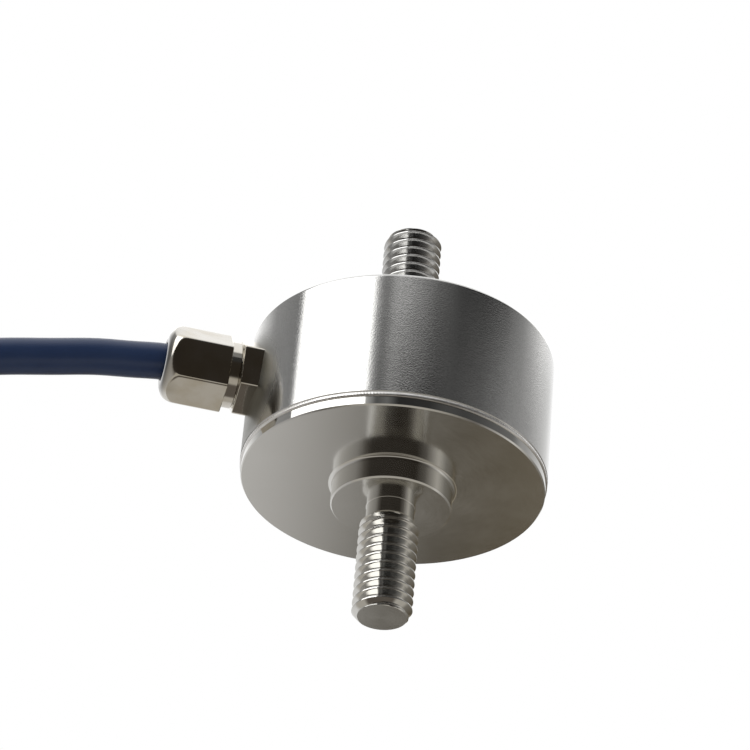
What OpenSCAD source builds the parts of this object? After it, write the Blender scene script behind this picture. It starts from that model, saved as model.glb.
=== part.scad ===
// Miniature in-line force sensor: a round steel housing closed by a measuring disc,
// a threaded stud at each end and a cable gland at the side.
// The Z axis runs along the studs. The origin is on the seat face of the upper boss.

/* [Housing] */
// Outside diameter of the housing
body_d = 25; // [24:0.1:32]
// Height of the housing from its top face down to the weld seam
body_h = 11.45; // [11:0.05:16]
// Thickness of the housing's side wall
wall_t = 2.5; // [2:0.1:2.8]
// Thickness of the housing's top plate
top_t = 2; // [1.4:0.1:2]
// Radius of the rounded top edge
top_edge_r = 0.35; // [0.1:0.05:0.8]
// Chamfer of the housing's lower edge beside the seam
seam_chamfer = 0.25; // [0.1:0.05:0.5]

/* [Studs and bosses] */
// Crest diameter of both threaded studs
stud_d = 4.85; // [4:0.05:6]
// Length of each stud from its boss face to its end
stud_l = 10; // [7:0.5:16]
// Chamfer at the free end of a stud
stud_chamfer = 0.4; // [0.2:0.05:0.7]
// Diameter of both bosses
boss_d = 9.8; // [8.5:0.1:12]
// Height of both bosses
boss_h = 2; // [1:0.1:4]
// Fillet where a boss meets its face
boss_fillet = 0.3; // [0.1:0.05:0.6]
// Chamfer round a boss face
boss_chamfer = 0.12; // [0.05:0.01:0.3]
// Diameter of the relief groove at the root of the lower stud
relief_d = 3.9; // [3.4:0.05:3.95]
// Length of the relief groove
relief_l = 1.75; // [1:0.05:3]

/* [Measuring disc] */
// How far the disc's visible band is set in from the housing's side
disc_inset = 0.125; // [0.05:0.005:0.4]
// Height of the visible band from the lower face to the seam
disc_h = 1; // [0.8:0.05:2]
// Chamfer round the lower face
face_chamfer = 0.12; // [0.05:0.01:0.3]
// Thickness of the thin web that bends under load
web_t = 1.1; // [0.8:0.05:1.5]
// Radius at which the stiff centre ends and the web starts
hub_r = 4; // [3:0.1:4.5]
// Height of the stiff centre above the lower face
hub_h = 2.4; // [1.8:0.1:2.8]
// Thickness of the locating ring that fits inside the housing
ring_t = 1.35; // [1:0.05:1.6]
// Height of the locating ring above the lower face
ring_h = 3.4; // [3:0.1:4]
// Fillet in the corners of the web
web_fillet = 0.4; // [0.2:0.05:0.5]
// Radial gap between the locating ring and the housing's bore
ring_gap = 0.05; // [0.02:0.01:0.1]

/* [Strain gauges and board] */
// Length of a gauge along the radius
gauge_l = 2.6; // [2:0.1:3]
// Width of a gauge
gauge_w = 1.9; // [1.5:0.1:2.2]
// Thickness of a gauge
gauge_t = 0.1; // [0.06:0.01:0.2]
// Diameter of the fine wires from the gauges to the board
gauge_wire_d = 0.25; // [0.15:0.01:0.4]
// Thickness of the terminal board
board_t = 0.8; // [0.5:0.1:1]
// Radius of the hole in the middle of the board
board_hole_r = 2.5; // [1.5:0.1:3]
// Radial gap between the board's edge and the housing's bore
board_gap = 0.3; // [0.2:0.05:0.6]
// Length of a trimming resistor
resistor_l = 2; // [1.6:0.1:2.4]
// Width of a trimming resistor
resistor_w = 1.25; // [0.8:0.05:1.5]
// Height of a trimming resistor
resistor_h = 0.55; // [0.4:0.05:0.8]
// Diameter of a terminal pin
pin_d = 0.7; // [0.5:0.05:0.9]
// Height of a terminal pin above the board
pin_h = 0.4; // [0.2:0.1:0.6]

/* [Cable gland] */
// Distance from the housing's top face down to the gland's axis
gland_drop = 4.85; // [4.65:0.05:5]
// Size across the flats of both hexagons
hex_af = 5.7; // [5.5:0.1:6]
// Radial gap between the gland body and the edge of the flat seat milled into the housing's side
seat_play = 0.04; // [0.02:0.01:0.15]
// Thickness of the round flange under the inner hexagon
flange_t = 0.1; // [0.06:0.02:0.3]
// Width by which the flange covers the sealing ring's recess
flange_cover = 0.1; // [0.05:0.05:0.2]
// Length of the inner hexagon
hex_l = 1.54; // [1.2:0.02:2.5]
// Turn of the inner hexagon away from upright, in degrees
hex_turn = 10.7; // [0:0.1:59]
// Diameter of the threaded shank in the housing wall
shank_d = 5; // [4.6:0.1:5]
// Length of shank that stands out inside the housing
shank_proud = 0.6; // [0.2:0.1:0.8]
// Radial gap of the shank and of the cap nut's thread
thread_gap = 0.04; // [0.02:0.01:0.08]
// Diameter of the outer threaded neck
neck_d = 4.6; // [4.3:0.05:4.8]
// Length of the outer threaded neck
neck_l = 3.2; // [2.6:0.1:3.6]
// Thickness of the sealing ring under the inner hexagon
o_ring_d = 0.5; // [0.3:0.05:0.55]
// Gap between the inner hexagon and the cap nut
nut_gap = 0.08; // [0.04:0.01:0.2]
// Length of the cap nut's round collar
collar_l = 0.86; // [0.5:0.02:1.5]
// Diameter of the cap nut's round collar
collar_d = 5.45; // [5.3:0.05:5.5]
// Length of the cap nut's hexagon with its domed end
nut_l = 5.16; // [4.6:0.02:7]
// Turn of the cap nut away from upright, in degrees
nut_turn = 18.2; // [0:0.1:59]
// Radius of the cap nut's domed outer edge
dome_r = 1.5; // [1:0.05:1.5]
// Diameter of the rubber seal around the cable
seal_d = 4.1; // [3.8:0.05:4.2]
// Length of the rubber seal
seal_l = 2; // [1.4:0.1:2.4]
// Length of the seal that sits inside the neck
seal_in_neck = 1.4; // [1:0.1:1.6]
// Thickness of the pressure ring
press_t = 0.8; // [0.5:0.05:1]
// Diametral clearance of the cable in the metal parts
cable_play = 0.2; // [0.1:0.05:0.3]

/* [Cable] */
// Outside diameter of the cable
cable_d = 3; // [2.6:0.1:3]
// Diameter of one insulated core
core_d = 0.8; // [0.6:0.05:0.85]
// Bend radius of a core on its way to the board
core_bend_r = 1.1; // [0.8:0.1:1.3]
// Length of stripped cores at the far end
lead_l = 28; // [15:1:40]
// Length of the shrink sleeve at the far end
sleeve_l = 10; // [6:1:15]
// Wall of the shrink sleeve
sleeve_t = 0.35; // [0.2:0.05:0.6]
// Angle at which each stripped core leans out, in degrees
lead_lean = 5; // [0:0.5:6]
// Width of a tie round the coil
tie_w = 2.5; // [2:0.1:5]
// Thickness of a tie
tie_t = 1; // [0.8:0.1:1.5]

/* [Hidden] */
$fn = 96;

body_r = body_d / 2;
bore_r = body_r - wall_t;
boss_r = boss_d / 2;
stud_r = stud_d / 2;
disc_r = body_r - disc_inset;
ring_r = bore_r - ring_gap;
web_r = ring_r - ring_t;
// Overlap of shapes that are joined, and what a cut runs past a face
eps = 0.01;
past = 1;

// Levels from the top down
top_z = -boss_h;
seam_z = top_z - body_h;
face_z = seam_z - disc_h;
web_z = face_z + web_t;
board_z = face_z + ring_h;
board_top_z = board_z + board_t;
gland_z = top_z - gland_drop;

// The weld bead fills the groove between the two chamfers
weld_inset = 0.08;
weld_bulge = 0.04;

// Distances from the stud axis along the gland
cable_proud = 0.3;
hex_corner_r = hex_af / sqrt(3);
shank_hole_r = shank_d / 2 + thread_gap;
recess_r = shank_hole_r + o_ring_d;
flange_r = recess_r + flange_cover;
seat_r = max(hex_corner_r, flange_r) + seat_play;
seat_s = sqrt(body_r * body_r - seat_r * seat_r);
hex_s = seat_s + flange_t;
shank_s = bore_r - shank_proud;
hex_end_s = hex_s + hex_l;
neck_end_s = hex_end_s + neck_l;
nut_s = hex_end_s + nut_gap;
collar_end_s = nut_s + collar_l;
nut_end_s = collar_end_s + nut_l;
seal_s = neck_end_s - seal_in_neck;
press_s = seal_s + seal_l;
press_end_s = press_s + press_t;
cable_in_s = shank_s - cable_proud;
cable_hole_r = (cable_d + cable_play) / 2;

// Sizes inside the housing
gauge_ring_r = (hub_r + web_r) / 2;
gauge_angles = [45, 135, 225, 315];
wire_spread = gauge_w / 4;
resistor_angles = [60, 0, -60];
resistor_ring_r = (board_hole_r + bore_r - board_gap) / 2;
core_pitch = 1.1;
core_straight = 1;
resistor_cap_proud = 0.05;
core_turn_s = cable_in_s - core_straight;

// The cable's way from the gland's mouth to the coil, as chosen by hand
cable_route = [[-nut_end_s, 0, gland_z], [-22.2, 0, -7.2], [-25, 0, -7.6], [-28.5, 0, -8.4],
    [-32, 0, -9.2], [-35.5, 0, -10.3], [-38.8, 0, -12.1], [-41.6, 0, -14.6], [-43.6, 0, -17.8],
    [-44.7, 0, -21.4], [-45, 0, -25.2], [-45, 0, -30]];
// The cable's way from the coil down to its stripped end
tail_route = [[-48, 0, -30], [-48, 0, -36], [-48, -0.4, -41], [-48, -1.2, -46], [-48, -2.8, -55]];
tube_sides = 8;
coil_x = -45;
coil_y = 19;
coil_z = -30;
coil_inner_r = 14.5;
coil_outer_r = 20.5;
coil_left = -13.5;
coil_right = 7.5;
coil_corner = 1.4;
notch_play = 0.5;
tie_play = 0.1;
sleeve_gap = 0.05;
sleeve_on_leads = 3;
strand_turn = 72;
tie_head = [1.6 * tie_w, 1.4 * tie_w, 2.2];

// Points of an arc about a centre, from one angle to another
function arc(cx, cy, r, a0, a1, steps) =
    [for (i = [0:steps]) let (a = a0 + (a1 - a0) * i / steps) [cx + r * cos(a), cy + r * sin(a)]];

// Half outline of a boss with its stud, drawn upwards from the face at height 0
function boss_outline(relief) = concat(
    arc(boss_r + boss_fillet, boss_fillet, boss_fillet, 270, 180, 4),
    [[boss_r, boss_h - boss_chamfer], [boss_r - boss_chamfer, boss_h]],
    relief > 0
        ? [[relief_d / 2, boss_h], [relief_d / 2, boss_h + relief - (stud_r - relief_d / 2)],
            [stud_r, boss_h + relief]]
        : [[stud_r, boss_h]],
    [[stud_r, boss_h + stud_l - stud_chamfer], [stud_r - stud_chamfer, boss_h + stud_l],
        [0, boss_h + stud_l]]);

// Turns a part so that its own Z axis runs out along the gland
module along_gland(s) {
    translate([-s, 0, gland_z]) rotate([0, -90, 0]) children();
}

// Cylinder along the gland between two distances from the stud axis
module gland_rod(s0, s1, r) {
    along_gland(s0) cylinder(h = s1 - s0, r = r);
}

// The housing is turned from one bar, with its boss and stud
module housing() {
    outline = concat(
        [[bore_r, 0], [body_r - seam_chamfer, 0], [body_r, seam_chamfer]],
        arc(body_r - top_edge_r, body_h - top_edge_r, top_edge_r, 0, 90, 5),
        [for (p = boss_outline(0)) [p[0], p[1] + body_h]],
        [[0, body_h - top_t], [bore_r, body_h - top_t]]);
    color("silver") difference() {
        translate([0, 0, seam_z]) rotate_extrude() polygon(outline);
        gland_hole();
    }
}

// Stepped hole in the side wall: thread, recess for the sealing ring and flat seat
module gland_hole() {
    recess_z = seat_s - o_ring_d - shank_s;
    seat_z = seat_s - shank_s;
    mouth_z = body_r + past - shank_s;
    outline = [[0, 0], [shank_hole_r, 0], [shank_hole_r, recess_z], [recess_r, recess_z],
        [recess_r, seat_z], [seat_r, seat_z], [seat_r, mouth_z], [0, mouth_z]];
    along_gland(shank_s) rotate_extrude() polygon(outline);
}

// The measuring element: stiff rim, thin web, stiff centre, boss and stud in one piece
module measuring_element() {
    upper = concat(
        [[0, hub_h], [hub_r, hub_h]],
        arc(hub_r + web_fillet, web_t + web_fillet, web_fillet, 180, 270, 4),
        arc(web_r - web_fillet, web_t + web_fillet, web_fillet, 270, 360, 4),
        [[web_r, ring_h], [ring_r, ring_h], [ring_r, disc_h],
            [disc_r - seam_chamfer, disc_h], [disc_r, disc_h - seam_chamfer],
            [disc_r, face_chamfer], [disc_r - face_chamfer, 0]]);
    lower = [for (p = boss_outline(relief_l)) [p[0], -p[1]]];
    color("gainsboro") translate([0, 0, face_z]) rotate_extrude() polygon(concat(upper, lower));
}

// Laser weld that closes the groove between housing and measuring element
module seam_weld() {
    outline = [[disc_r - seam_chamfer, 0], [disc_r - weld_inset, weld_inset - seam_chamfer],
        [(disc_r + body_r) / 2 - weld_inset + weld_bulge, 0],
        [body_r - weld_inset, seam_chamfer - weld_inset], [body_r - seam_chamfer, 0]];
    color("silver") translate([0, 0, seam_z]) rotate_extrude() polygon(outline);
}

// One foil gauge bonded on the web, with its two solder tabs
module strain_gauge(angle) {
    color("goldenrod") rotate([0, 0, angle]) translate([gauge_ring_r, 0, web_z]) {
        translate([-gauge_l / 2, -gauge_w / 2, 0]) cube([gauge_l, gauge_w, gauge_t]);
        for (side = [-1, 1])
            translate([gauge_l / 4, side * wire_spread, gauge_t / 2])
                cylinder(h = gauge_t, r = gauge_wire_d);
    }
}

// Fine wires from the gauges' solder tabs up to the board
module gauge_wires() {
    wire_z = web_z + gauge_t * 1.5;
    color("peru") for (angle = gauge_angles, side = [-1, 1])
        rotate([0, 0, angle]) translate([gauge_ring_r + gauge_l / 4, side * wire_spread, wire_z])
            cylinder(h = board_z - wire_z, r = gauge_wire_d / 2, $fn = 24);
}

// Where the four pins stand: the lower pair of cores comes down first
function pin_s(row) = core_turn_s - core_bend_r - row * core_pitch;

// Round board that carries the bridge's wiring, seated on the locating ring
module terminal_board() {
    color("darkgreen") translate([0, 0, board_z]) difference() {
        cylinder(h = board_t, r = bore_r - board_gap);
        translate([0, 0, -past]) cylinder(h = board_t + 2 * past, r = board_hole_r);
        for (row = [0, 1], side = [-1, 1])
            translate([-pin_s(row), side * core_pitch / 2, -past])
                cylinder(h = board_t + 2 * past, r = pin_d / 2, $fn = 32);
    }
}

// Pins in the board that take the cable's cores
module terminal_pins() {
    color("gold") for (row = [0, 1], side = [-1, 1])
        translate([-pin_s(row), side * core_pitch / 2, board_z - pin_h])
            cylinder(h = board_t + 2 * pin_h, r = pin_d / 2, $fn = 32);
}

// One resistor that balances the bridge, with a metal cap at each end
module trim_resistor(angle) {
    cap_l = resistor_l / 5;
    color("dimgray") rotate([0, 0, angle]) translate([resistor_ring_r, 0, board_top_z]) {
        translate([-resistor_w / 2, -resistor_l / 2, 0])
            cube([resistor_w, resistor_l, resistor_h - resistor_cap_proud]);
        for (side = [-1, 1])
            translate([-resistor_w / 2, side * (resistor_l - cap_l) / 2 - cap_l / 2, 0])
                cube([resistor_w, cap_l, resistor_h]);
    }
}

// One insulated core: out of the cable, round a bend and down onto its pin
module core(row, side) {
    y = side * core_pitch / 2;
    z = gland_z + (row - 0.5) * core_pitch;
    down_s = pin_s(row);
    bend_s = down_s + core_bend_r;
    end_z = board_top_z + pin_h;
    translate([-cable_in_s, y, z]) rotate([0, 90, 0])
        cylinder(h = cable_in_s - bend_s, r = core_d / 2, $fn = 32);
    translate([-bend_s, y, z - core_bend_r]) rotate([90, 0, 0])
        rotate_extrude(angle = 90, $fn = 64) translate([core_bend_r, 0]) circle(r = core_d / 2, $fn = 32);
    translate([-down_s, y, end_z]) cylinder(h = z - core_bend_r - end_z, r = core_d / 2, $fn = 32);
}

module core_red() { color("red") core(0, -1); }
module core_black() { color("black") core(0, 1); }
module core_green() { color("green") core(1, -1); }
module core_white() { color("white") core(1, 1); }

// Hexagon along the gland with one corner turned away from upright
module gland_hex(s0, s1, turn) {
    along_gland(s0) rotate([0, 0, -turn]) cylinder(h = s1 - s0, r = hex_corner_r, $fn = 6);
}

// Gland body: shank in the wall, thin flange on the seat, hexagon, neck for the cap nut
module gland_body() {
    color("silver") difference() {
        union() {
            gland_rod(shank_s, seat_s + eps, shank_d / 2);
            gland_rod(seat_s, hex_s + eps, flange_r);
            gland_hex(hex_s, hex_end_s, hex_turn);
            gland_rod(hex_end_s - eps, neck_end_s, neck_d / 2);
        }
        gland_rod(shank_s - past, neck_end_s + past, cable_hole_r);
        gland_rod(seal_s, neck_end_s + past, seal_d / 2);
    }
}

// Rubber ring in its recess under the gland's flange
module gland_o_ring() {
    color("black") along_gland(seat_s - o_ring_d / 2) rotate_extrude()
        translate([shank_d / 2 + (o_ring_d + thread_gap) / 2, 0]) circle(d = o_ring_d, $fn = 24);
}

// Rubber sleeve that the cap nut presses onto the cable
module seal_sleeve() {
    color("dimgray") difference() {
        gland_rod(seal_s, press_s, seal_d / 2);
        gland_rod(seal_s - past, press_s + past, cable_d / 2);
    }
}

// Metal ring between the seal and the cap nut
module pressure_ring() {
    color("gold") difference() {
        gland_rod(press_s, press_end_s, seal_d / 2);
        gland_rod(press_s - past, press_end_s + past, cable_hole_r);
    }
}

// Cap nut: round collar, hexagon and domed end with the cable's hole
module cap_nut() {
    dome = concat(
        [[0, 0], [hex_corner_r, 0]],
        arc(hex_corner_r - dome_r, nut_l - dome_r, dome_r, 0, 90, 8),
        [[0, nut_l]]);
    color("silver") difference() {
        union() {
            gland_rod(nut_s, collar_end_s + eps, collar_d / 2);
            intersection() {
                gland_hex(collar_end_s, nut_end_s, nut_turn);
                along_gland(collar_end_s) rotate_extrude() polygon(dome);
            }
        }
        gland_rod(nut_s - past, press_s, neck_d / 2 + thread_gap);
        gland_rod(nut_s - past, press_end_s, seal_d / 2);
        gland_rod(nut_s - past, nut_end_s + past, cable_hole_r);
    }
}

// The stretch of cable that the gland holds
module clamped_cable() {
    color("midnightblue") gland_rod(cable_in_s, nut_end_s, cable_d / 2);
}

// Unit direction of a route at each of its points
function unit(v) = v / norm(v);
function heading(route, i) =
    unit(route[min(i + 1, len(route) - 1)] - route[max(i - 1, 0)]);

// A closed tube swept along a route that starts in a given direction, with one ring at each point
module swept_tube(route, start, r) {
    n = tube_sides;
    last = len(route) - 1;
    ahead = [for (i = [0:last]) i == 0 ? start : heading(route, i)];
    across = [for (i = [0:last]) unit(cross(ahead[i], [0, 1, 0]))];
    rings = [for (i = [0:last]) let (u = across[i], v = cross(ahead[i], u))
        for (k = [0:n - 1]) route[i] + r * (cos(360 * k / n) * u + sin(360 * k / n) * v)];
    walls = [for (i = [0:last - 1], k = [0:n - 1])
        [i * n + k, (i + 1) * n + k, (i + 1) * n + (k + 1) % n, i * n + (k + 1) % n]];
    start_cap = [for (k = [0:n - 1]) k];
    end_cap = [for (k = [n - 1:-1:0]) last * n + k];
    polyhedron(points = rings, faces = concat(walls, [start_cap, end_cap]));
}

module cable() { color("midnightblue") swept_tube(cable_route, [-1, 0, 0], cable_d / 2); }
module cable_tail() { color("midnightblue") swept_tube(tail_route, [0, 0, -1], cable_d / 2); }

// Outer shape of the tied coil, with room where the cable enters and leaves
module cable_coil() {
    c = coil_corner;
    outline = [[coil_inner_r, coil_left + c], [coil_inner_r + c, coil_left],
        [coil_outer_r - c, coil_left], [coil_outer_r, coil_left + c],
        [coil_outer_r, coil_right - c], [coil_outer_r - c, coil_right],
        [coil_inner_r + c, coil_right], [coil_inner_r, coil_right - c]];
    color("midnightblue") difference() {
        translate([coil_x, coil_y, coil_z]) rotate([0, 90, 0]) rotate_extrude() polygon(outline);
        translate(cable_route[len(cable_route) - 1])
            cylinder(h = coil_outer_r, r = cable_d / 2 + notch_play);
        translate(tail_route[0] - [0, 0, coil_outer_r])
            cylinder(h = coil_outer_r, r = cable_d / 2 + notch_play);
    }
}

// One tie round the coil's bundle, with its lock on the outer side
module coil_tie(side) {
    inner = [coil_right - coil_left, tie_w, coil_outer_r - coil_inner_r + 2 * tie_play];
    middle_x = coil_x + (coil_left + coil_right) / 2;
    middle_r = (coil_inner_r + coil_outer_r) / 2;
    color("black") translate([middle_x, coil_y, coil_z + side * middle_r]) difference() {
        union() {
            cube(inner + [2 * tie_t, 0, 2 * tie_t], center = true);
            translate([0, 0, side * (inner[2] / 2 + tie_t + tie_head[2] / 2 - eps)])
                cube(tie_head, center = true);
        }
        cube(inner + [0, past, 0], center = true);
    }
}

// End of the cable: shrink sleeve and stripped cores, in the frame of the last route point
module at_cable_end() {
    last = len(tail_route) - 1;
    h = heading(tail_route, last);
    translate(tail_route[last]) rotate([atan2(h[1], -h[2]), 0, 0]) children();
}

module end_sleeve() {
    inner_r = cable_d / 2 + sleeve_gap;
    color("black") at_cable_end() translate([0, 0, -sleeve_on_leads]) difference() {
        cylinder(h = sleeve_l, r = inner_r + sleeve_t);
        translate([0, 0, -past]) cylinder(h = sleeve_l + 2 * past, r = inner_r);
    }
}

// One stripped core, leaning outwards from the cable's end
module lead(k) {
    spread_r = cable_d / 4;
    drop = sin(lead_lean) * core_d / 2;
    at_cable_end() rotate([0, 0, strand_turn * k]) translate([spread_r, 0, -drop])
        rotate([0, 180 - lead_lean, 0]) cylinder(h = lead_l, r = core_d / 2, $fn = 24);
}

module lead_red() { color("red") lead(0); }
module lead_black() { color("black") lead(1); }
module lead_green() { color("green") lead(2); }
module lead_white() { color("white") lead(3); }
module shield_drain() { color("silver") lead(4); }

housing();
measuring_element();
seam_weld();
strain_gauge(gauge_angles[0]);  // strain_gauge_1
strain_gauge(gauge_angles[1]);  // strain_gauge_2
strain_gauge(gauge_angles[2]);  // strain_gauge_3
strain_gauge(gauge_angles[3]);  // strain_gauge_4
gauge_wires();
terminal_board();
terminal_pins();
trim_resistor(resistor_angles[0]);  // trim_resistor_1
trim_resistor(resistor_angles[1]);  // trim_resistor_2
trim_resistor(resistor_angles[2]);  // trim_resistor_3
core_red();
core_black();
core_green();
core_white();
gland_body();
gland_o_ring();
seal_sleeve();
pressure_ring();
cap_nut();
clamped_cable();
cable();
cable_coil();
cable_tail();
coil_tie(1);  // coil_tie_top
coil_tie(-1);  // coil_tie_bottom
end_sleeve();
lead_red();
lead_black();
lead_green();
lead_white();
shield_drain();
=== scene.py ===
"""Looks of a miniature in-line force sensor: a round steel housing closed by a measuring disc, a threaded
stud at each end, a cable gland at the side and 1.5 m of cable in a tied coil.

Sizes are in millimetres and Z runs along the studs, from the seat face of the upper boss.
"""
from math import ceil, cos, pi, radians, sin, sqrt

import bmesh
import bpy
import numpy as np
from mathutils import Matrix, Vector


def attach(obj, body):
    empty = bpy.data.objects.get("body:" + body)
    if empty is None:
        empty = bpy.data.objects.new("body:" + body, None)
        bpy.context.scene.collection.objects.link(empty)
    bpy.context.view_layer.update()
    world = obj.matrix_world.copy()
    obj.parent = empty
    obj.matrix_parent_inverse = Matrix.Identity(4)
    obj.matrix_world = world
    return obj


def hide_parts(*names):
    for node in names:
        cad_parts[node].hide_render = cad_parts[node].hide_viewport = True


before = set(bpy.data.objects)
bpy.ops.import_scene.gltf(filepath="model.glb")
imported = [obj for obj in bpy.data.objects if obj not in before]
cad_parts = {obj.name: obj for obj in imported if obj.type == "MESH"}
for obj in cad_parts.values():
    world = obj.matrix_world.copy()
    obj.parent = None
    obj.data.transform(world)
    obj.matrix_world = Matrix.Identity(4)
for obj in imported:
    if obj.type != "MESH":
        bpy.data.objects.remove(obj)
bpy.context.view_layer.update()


# Camera
# A long lens that looks up at the sensor from below its lower stud, as in the photograph.
camera = bpy.data.objects.new("camera", bpy.data.cameras.new("camera"))
camera.data.lens = 158.6
camera.data.sensor_width = 36
camera.data.clip_start = 0.01
sideways = (0.96691023, -0.24367208, 0.07555473)
upwards = (-0.19509226, -0.51540858, 0.83444174)
backwards = (-0.16438860, -0.82157040, -0.54589237)
camera.matrix_world = (Matrix.Translation((-0.04703777, -0.22375819, -0.1527381))
                       @ Matrix((sideways, upwards, backwards)).transposed().to_4x4())
bpy.context.scene.collection.objects.link(camera)
bpy.context.scene.camera = camera


# Housing
# Stainless steel can, turned from one bar together with its boss and its threaded stud, then ground fine on
# the side. A stepped hole is bored through the side wall for the cable gland, whose hexagon hides its rim.
mm = 0.001
body_r = 12.5
bore_r = 10.0
top_z, seam_z, roof_z = -2.0, -13.45, -4.0
edge_r = 0.35
seam_chamfer = 0.25
boss_r, boss_h, boss_fillet, boss_chamfer = 4.9, 2.0, 0.3, 0.12
crest_r, root_r, pitch = 2.425, 1.93, 0.8
stud_l, stud_chamfer = 10.0, 0.4
gland_z = -6.85
seat_x, rim_r = -12.048, 2.6
recess_x, recess_r = -11.548, 3.04
shank_hole_r = 2.54
sides, window_faces = 192, 20
around = np.linspace(0, 2 * pi, sides + 1)
gland_around = np.radians(np.linspace(-135, 225, 4 * window_faces + 1))
gland_ring = np.stack([np.cos(gland_around), np.sin(gland_around)], axis=-1)


def arc(across, up, r, start, end, steps=8):
    """Arc of an outline about (across, up), from one angle to another in degrees."""
    a = np.radians(np.linspace(start, end, steps + 1))
    return np.stack([across + r * np.cos(a), up + r * np.sin(a)], axis=-1)


def outline(*runs):
    """Joins points and arcs into one outline. Every straight stretch gets a point close to both of its ends,
    so that a flat stays flat up to the rounding that it meets."""
    points = np.vstack([np.atleast_2d(run) for run in runs])
    step = np.diff(points, axis=0)
    near = np.minimum(0.03 / np.maximum(np.hypot(*step.T), 1e-9), 0.3)
    share = np.stack([0 * near, near, 1 - near], axis=-1)[..., None]
    return np.vstack([(points[:-1, None] + share * step[:, None]).reshape(-1, 2), points[-1:]])


def grid(x, y, z):
    """Grid of points from three tables, each of which may lack the rows or the columns in which it stays
    the same."""
    return np.stack(np.broadcast_arrays(x, y, z), axis=-1)


def turned(profile):
    """Surface of revolution: each point (r, z) of the outline is carried round the Z axis."""
    r, z = np.asarray(profile, float).T[:, :, None]
    return grid(r * np.cos(around), r * np.sin(around), z)


def threaded(bottom, top, ends, cut):
    """Right-hand screw surface. At each height the radius is that of a 60 degree ridge, whose flanks are
    straight lines blended softly into crest and root, and the ridge climbs one pitch a turn. `ends` are
    points (z, r) of the largest radius, `cut` are points (z, share) of how deep the groove is there."""
    half_crest, crest_blend, root_blend = 0.05, 0.01, 0.03
    half = pitch * np.array([0, .035, .05, .0625, .075, .09, .12, .18, .25, .32, .37, .4, .42, .445, .5])
    ridge = np.concatenate([half, pitch - half[-2:0:-1]])
    turns = np.arange(-1, ceil((top - bottom) / pitch) + 2)
    rows = bottom + (turns[:, None] * pitch + ridge).reshape(-1, 1)
    z = np.clip(rows + pitch * around / (2 * pi), bottom, top)
    phase = (z - bottom) / pitch - around / (2 * pi)
    from_crest = np.abs(phase - np.round(phase)) * pitch
    flank = crest_r - (from_crest - half_crest) * sqrt(3)
    low = (flank + root_r + np.sqrt((flank - root_r) ** 2 + root_blend ** 2)) / 2
    ridge_r = (low + crest_r - np.sqrt((low - crest_r) ** 2 + crest_blend ** 2)) / 2
    r = crest_r - (crest_r - ridge_r) * np.interp(z, *np.transpose(cut))
    r = np.minimum(r, np.interp(z, *np.transpose(ends)))
    return grid(r * np.cos(around), r * np.sin(around), z)


def closing_disc(ring):
    """Flat disc that closes a ring: the ring shrinks to its centre, first in small steps."""
    centre = ring[:-1].mean(axis=0)
    return centre + (ring - centre) * np.array([1, .985, .93, .6, .3, 0])[:, None, None]


def drilled_wall(radius, hole_r, below, above, half_z):
    """Cylinder wall with a round hole across it. The wall is a grid with a window left out at the gland, and
    the window is filled by rings that pass from its square edge to the round hole, all on the cylinder.
    `below` and `above` are the heights of the rows beside the window, which reaches half_z from the gland."""
    half = window_faces // 2
    cell = np.arange(-half, half + 1)
    inside = pi - cell * 2 * pi / sides
    outside = pi + np.arange(half, sides - half + 1) * 2 * pi / sides
    window = gland_z + half_z * cell / half

    def wall(a, z):
        return grid(radius * np.cos(a), radius * np.sin(a), z)

    heights = np.concatenate([below, window, above])[:, None]
    edge_a = np.concatenate([inside[:-1], np.full(window_faces, inside[-1]), inside[:0:-1],
                             np.full(window_faces + 1, inside[0])])
    edge_z = np.concatenate([np.full(window_faces, window[0]), window[:-1], np.full(window_faces, window[-1]),
                             window[:0:-1], window[:1]])
    hole_a = pi - np.arcsin(gland_ring[:, 0] * hole_r / radius)
    hole_z = gland_z + gland_ring[:, 1] * hole_r
    t = np.linspace(0, 1, 8)[:, None]
    return [wall(outside, heights),
            wall(inside, np.append(below, window[0])[:, None]),
            wall(inside, np.append(window[-1], above)[:, None]),
            wall(edge_a + (hole_a - edge_a) * t, edge_z + (hole_z - edge_z) * t)]


def gland_hole():
    """Stepped hole from the housing's side to its bore: each step is the ring at a depth and a radius."""
    def ring(x, r):
        return grid(x, r * gland_ring[:, 0], gland_z + r * gland_ring[:, 1])
    rim_x = -np.sqrt(body_r ** 2 - (rim_r * gland_ring[:, 0]) ** 2)
    bore_x = -np.sqrt(bore_r ** 2 - (shank_hole_r * gland_ring[:, 0]) ** 2)
    return np.stack([ring(rim_x, rim_r), ring(seat_x, rim_r), ring(seat_x, recess_r),
                     ring(recess_x, recess_r), ring(recess_x, shank_hole_r), ring(bore_x, shank_hole_r)])


def skin(name, sheets, crisp=30):
    """Makes one closed mesh of several grids of points: neighbours in a grid become faces, points that
    coincide are welded, and edges that turn by more than `crisp` degrees stay sharp."""
    points, faces, first = [], [], 0
    for sheet in sheets:
        rows, columns = sheet.shape[:2]
        i = first + np.arange(rows * columns).reshape(rows, columns)
        faces.append(np.stack([i[:-1, :-1], i[:-1, 1:], i[1:, 1:], i[1:, :-1]], axis=-1).reshape(-1, 4))
        points.append(sheet.reshape(-1, 3))
        first += rows * columns
    mesh = bpy.data.meshes.new(name)
    mesh.from_pydata(np.vstack(points) * mm, [], np.vstack(faces))
    shell = bmesh.new()
    shell.from_mesh(mesh)
    bmesh.ops.remove_doubles(shell, verts=shell.verts, dist=2e-7)
    bmesh.ops.recalc_face_normals(shell, faces=shell.faces)
    shell.to_mesh(mesh)
    shell.free()
    mesh.shade_smooth()
    mesh.set_sharp_from_angle(angle=radians(crisp))
    piece = bpy.data.objects.new(name, mesh)
    bpy.context.scene.collection.objects.link(piece)
    return piece


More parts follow.
